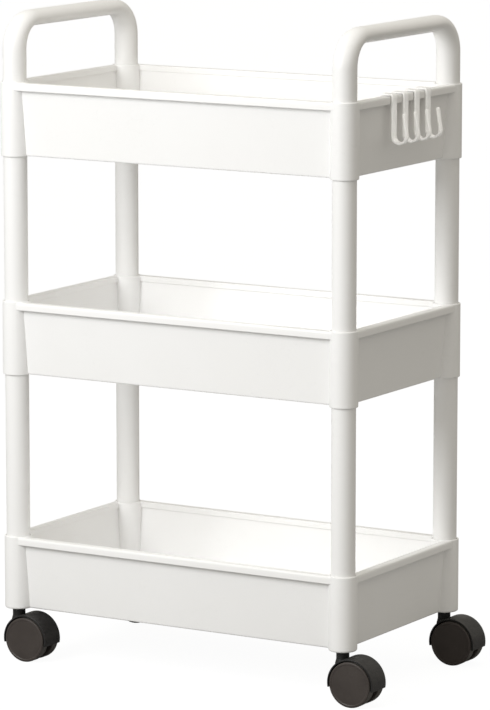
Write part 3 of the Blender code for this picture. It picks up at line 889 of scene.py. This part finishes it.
def stemShape():
    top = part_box(f"stem_{casterNode}")[1].z
    half = stemSet["grooveHigh"] / 2
    grooveLow = top - stemSet["grooveDown"] - half
    grooveTop = top - stemSet["grooveDown"] + half
    pin = stemSet["pin"]
    shank = stemSet["shank"]
    cut = shank - stemSet["groove"]
    soft = stemSet["grooveRound"]
    foot = neckTop - stemSet["pinDeep"]
    shoulder = neckTop + fits["slipGap"]
    return turnedProfile(roundedOutline([
        (0, foot, 0), (pin, foot, stemSet["pinRound"]),
        (pin, shoulder, 0), (shank, shoulder, stemSet["shankRound"]),
        (shank, grooveLow, soft), (cut, grooveLow, soft), (cut, grooveTop, soft), (shank, grooveTop, soft),
        (shank, top, stemSet["tip"]), (0, top, 0),
    ], steps=3), stemSet["steps"])


def socketShape():
    # a flanged sleeve with a groove inside for the grip ring
    low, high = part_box(f"socket_{casterNode}")
    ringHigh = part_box(f"grip_ring_{casterNode}")[1]
    groove = middleOf(f"grip_ring_{casterNode}").z
    half = stemSet["grooveHigh"] / 2
    bore = stemSet["bore"]
    sleeve = stemSet["sleeve"]
    flange = stemSet["flange"]
    ledge = low.z + stemSet["flangeHigh"]
    snap = ringHigh.x - casterOrigin.x + fits["slipGap"]
    return turnedProfile(roundedOutline([
        (bore, low.z, stemSet["flangeRound"]), (flange, low.z, stemSet["flangeRound"]),
        (flange, ledge, stemSet["flangeTopRound"]), (sleeve, ledge, stemSet["grooveRound"]),
        (sleeve, high.z, stemSet["sleeveRound"]), (bore, high.z, stemSet["shankRound"]),
        (bore, groove + half, 0), (snap, groove + half, 0), (snap, groove - half, 0), (bore, groove - half, 0),
    ], steps=3, closed=True), stemSet["steps"], closed=True)


def gripRingShape():
    low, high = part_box(f"grip_ring_{casterNode}")
    outer = high.x - casterOrigin.x
    wall = ringOutline(outer - stemSet["ringWall"], outer, low.z, high.z, stemSet["ringRound"])
    return turnedProfile(wall, stemSet["steps"], closed=True, turn=360 - stemSet["ringSlot"])


def axleShape():
    low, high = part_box(f"axle_{casterNode}")
    half = (high.y - low.y) / 2
    radius = (high.z - low.z) / 2
    soft = casterSet["axleRound"]
    outline = roundedOutline([(0, -half, 0), (radius, -half, soft), (radius, half, soft), (0, half, 0)])
    return turnedProfile(outline, casterSet["axleSteps"])


wearSet = {
    "tread": 0.9, "treadDeep": 0.0012, "treadIn": 0.001,
    "hood": 0.7, "hoodDeep": 0.0003, "hoodIn": 0.0008,
}


def fromAxle(spot):
    return math.hypot(spot.x - axleSpot.x, spot.z - axleSpot.z)


def treadRub(spot):
    onTread = fromAxle(spot) > wheelRadius - wearSet["treadDeep"]
    return wearSet["tread"] if onTread and abs(spot.y) < wheelOut - wearSet["treadIn"] else 0.0


def hoodRub(spot):
    onHood = fromAxle(spot) > hoodRadius - wearSet["hoodDeep"]
    return wearSet["hood"] if onHood and abs(spot.y) > hoodHalf - wearSet["hoodIn"] else 0.0


housingMaster = buildHousing()
casterParts = {
    "socket": ("stemSocket", meshFrom(socketShape(), "socket"), "frame", "sleeve_plastic", noRub),
    "grip_ring": ("gripRing", meshFrom(gripRingShape(), "gripRing"), "frame", "steel", noRub),
    "stem": ("casterStem", meshFrom(stemShape(), "stem"), "caster", "steel", noRub),
    "housing": ("casterHousing", housingMaster.data, "caster", "hood_plastic", hoodRub),
    "axle": ("casterAxle", meshFrom(axleShape(), "axle", onAxle), "caster", "steel", noRub),
    "wheel_a": ("wheelA", meshFrom(wheelMesh(-1), "wheelA", onAxle), "wheel", "wheel_plastic", treadRub),
    "wheel_b": ("wheelB", meshFrom(wheelMesh(1), "wheelB", onAxle), "wheel", "wheel_plastic", treadRub),
}
bpy.data.objects.remove(housingMaster)

for kind, (pieceName, masterMesh, home, slotName, rub) in casterParts.items():
    markRub(masterMesh, rub)
    for cornerName in cornerNames:
        nodeName = f"wheel_{cornerName}_{kind[-1]}" if home == "wheel" else f"{kind}_{cornerName}"
        bodyName = {"frame": "frame", "caster": f"caster_{cornerName}", "wheel": nodeName}[home]
        partMesh = masterMesh.copy()
        partMesh.transform(Matrix.Translation((postSpots[cornerName].x, postSpots[cornerName].y, 0)))
        part = addMesh(f"{pieceName}.{cornerName}", partMesh)
        finishPiece(part, bodyName, [nodeName], slotName)
    bpy.data.meshes.remove(masterMesh)
print("casters built")


# floor, light and camera

floorSet = {"size": 60.0, "seen": 0.95, "seenDiffuse": 0.10, "bounce": 0.38}
lightSet = {
    "key": {
        "spot": (-0.40, -1.55, 1.15), "aim": (0.0, 0.0, 0.45), "size": (1.0, 1.0),
        "power": 21.5, "colour": (0.965, 0.98, 1.0),
    },
    "overhead": {
        "spot": (0.35, -0.10, 2.2), "aim": (0.05, 0.0, 0.6), "size": (0.6, 0.6),
        "power": 5.0, "colour": (1.0, 0.99, 0.97),
    },
    "hooks": {
        "spot": (1.0, -0.75, 0.95), "aim": (0.2, 0.0, 0.59), "size": (0.3, 0.3),
        "power": 4.6, "colour": (1.0, 0.98, 0.95),
    },
    "bay": {"size": (0.15, 0.16), "power": 0.12, "colour": (1.0, 1.0, 1.0)},
}
baySet = {"right": 0.05, "aimLeft": 0.04, "under": 0.05, "reach": 0.2}  # under is below the tray above
worldSet = {"fill": 0.56, "fillColour": (1.0, 0.955, 0.86, 1)}
cameraSet = {
    "turn": 31.104, "rise": 9.315, "away": 4.7194, "lens": 223.66, "sensor": 36.0, "far": 100.0,
    "height": 0.3347,  # of the point that the camera circles
    "aimRight": 0.01485, "aimUp": -0.00108,
}


def grey(value):
    return (value, value, value, 1)


def aimFrom(turn, rise):
    # a unit vector from the cart, turned this far from its front and raised this far
    turn, rise = math.radians(turn), math.radians(rise)
    return Vector((math.sin(turn) * math.cos(rise), -math.cos(turn) * math.cos(rise), math.sin(rise)))


def makeFloor():
    # pale and even to the camera, and darker to the light it bounces
    bm = bmesh.new()
    bmesh.ops.create_grid(bm, x_segments=2, y_segments=2, size=floorSet["size"] / 2)
    floor = addMesh("paleFloor", meshFrom(bm, "paleFloor"))
    material = bpy.data.materials.new("paleFloor")
    material.use_nodes = True
    tree = material.node_tree
    tree.nodes.clear()
    seen = addNode(tree, "ShaderNodeLightPath").outputs["Is Camera Ray"]
    glow = addNode(tree, "ShaderNodeEmission", None, Color=grey(1), Strength=floorSet["seen"])
    paint = addNode(tree, "ShaderNodeBsdfDiffuse", None, Color=grey(floorSet["seenDiffuse"]))
    plain = addNode(tree, "ShaderNodeBsdfDiffuse", None, Color=grey(floorSet["bounce"]))
    both = addNode(tree, "ShaderNodeAddShader", None, _0=glow.outputs[0], _1=paint.outputs[0])
    mixed = addNode(tree, "ShaderNodeMixShader", None, _0=seen, _1=plain.outputs[0], _2=both.outputs[0])
    addNode(tree, "ShaderNodeOutputMaterial", None, Surface=mixed.outputs[0])
    floor.data.materials.append(material)


def addAreaLight(name, spot, aim, size, power, colour):
    data = bpy.data.lights.new(name, "AREA")
    data.shape = "RECTANGLE"
    data.size, data.size_y = size
    data.energy = power
    data.color = colour
    light = bpy.data.objects.new(name, data)
    light.location = Vector(spot) + Vector((cartMiddle.x, 0, 0))
    light.rotation_euler = (Vector(spot) - Vector(aim)).to_track_quat("Z", "Y").to_euler()
    light.visible_camera = False
    light.visible_glossy = name == "key"
    bpy.context.scene.collection.objects.link(light)
    return light


def makeLight():
    for name in ("key", "overhead"):
        addAreaLight(name, **lightSet[name])
    # a small card that lights only the hooks, to lift them off the shaded end wall
    lit = bpy.data.collections.new("hooksOnly")
    for obj in bpy.data.objects:
        if obj.name.startswith("rimHook"):
            lit.objects.link(obj)
    addAreaLight("hooks", **lightSet["hooks"]).light_linking.receiver_collection = lit
    # soft panels that brighten the insides of the trays
    for level, above in (("middle", "top"), ("bottom", "middle")):
        spot = (baySet["right"], 0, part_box(f"tray_{above}")[0].z - baySet["under"])
        aim = (-baySet["aimLeft"], 0, spot[2] - baySet["reach"])
        addAreaLight(f"{level}Bay", spot, aim, **lightSet["bay"])


def makeWorld():
    # white to the camera, and a warm dim fill to everything else
    world = bpy.data.worlds.new("studio")
    bpy.context.scene.world = world
    world.use_nodes = True
    tree = world.node_tree
    tree.nodes.clear()
    seen = addNode(tree, "ShaderNodeLightPath").outputs["Is Camera Ray"]
    fill = addNode(tree, "ShaderNodeBackground", None, Color=worldSet["fillColour"], Strength=worldSet["fill"])
    backdrop = addNode(tree, "ShaderNodeBackground", None, Color=grey(1), Strength=1.0)
    mixed = addNode(tree, "ShaderNodeMixShader", None, _0=seen, _1=fill.outputs[0], _2=backdrop.outputs[0])
    addNode(tree, "ShaderNodeOutputWorld", None, Surface=mixed.outputs[0])


def makeCamera():
    data = bpy.data.cameras.new("camera")
    data.lens = cameraSet["lens"]
    data.sensor_width = cameraSet["sensor"]
    data.clip_end = cameraSet["far"]
    camera = bpy.data.objects.new("camera", data)
    pivot = Vector((cartMiddle.x, 0, cameraSet["height"]))
    turn = math.radians(cameraSet["turn"])
    rightward = Vector((math.cos(turn), math.sin(turn), 0))
    aim = pivot + rightward * cameraSet["aimRight"] + Vector((0, 0, cameraSet["aimUp"]))
    camera.location = pivot + aimFrom(cameraSet["turn"], cameraSet["rise"]) * cameraSet["away"]
    camera.rotation_euler = (camera.location - aim).to_track_quat("Z", "Y").to_euler()
    bpy.context.scene.collection.objects.link(camera)
    bpy.context.scene.camera = camera


makeFloor()
makeLight()
makeWorld()
makeCamera()
bpy.context.scene.view_settings.view_transform = "Standard"
print("floor, light and camera set")
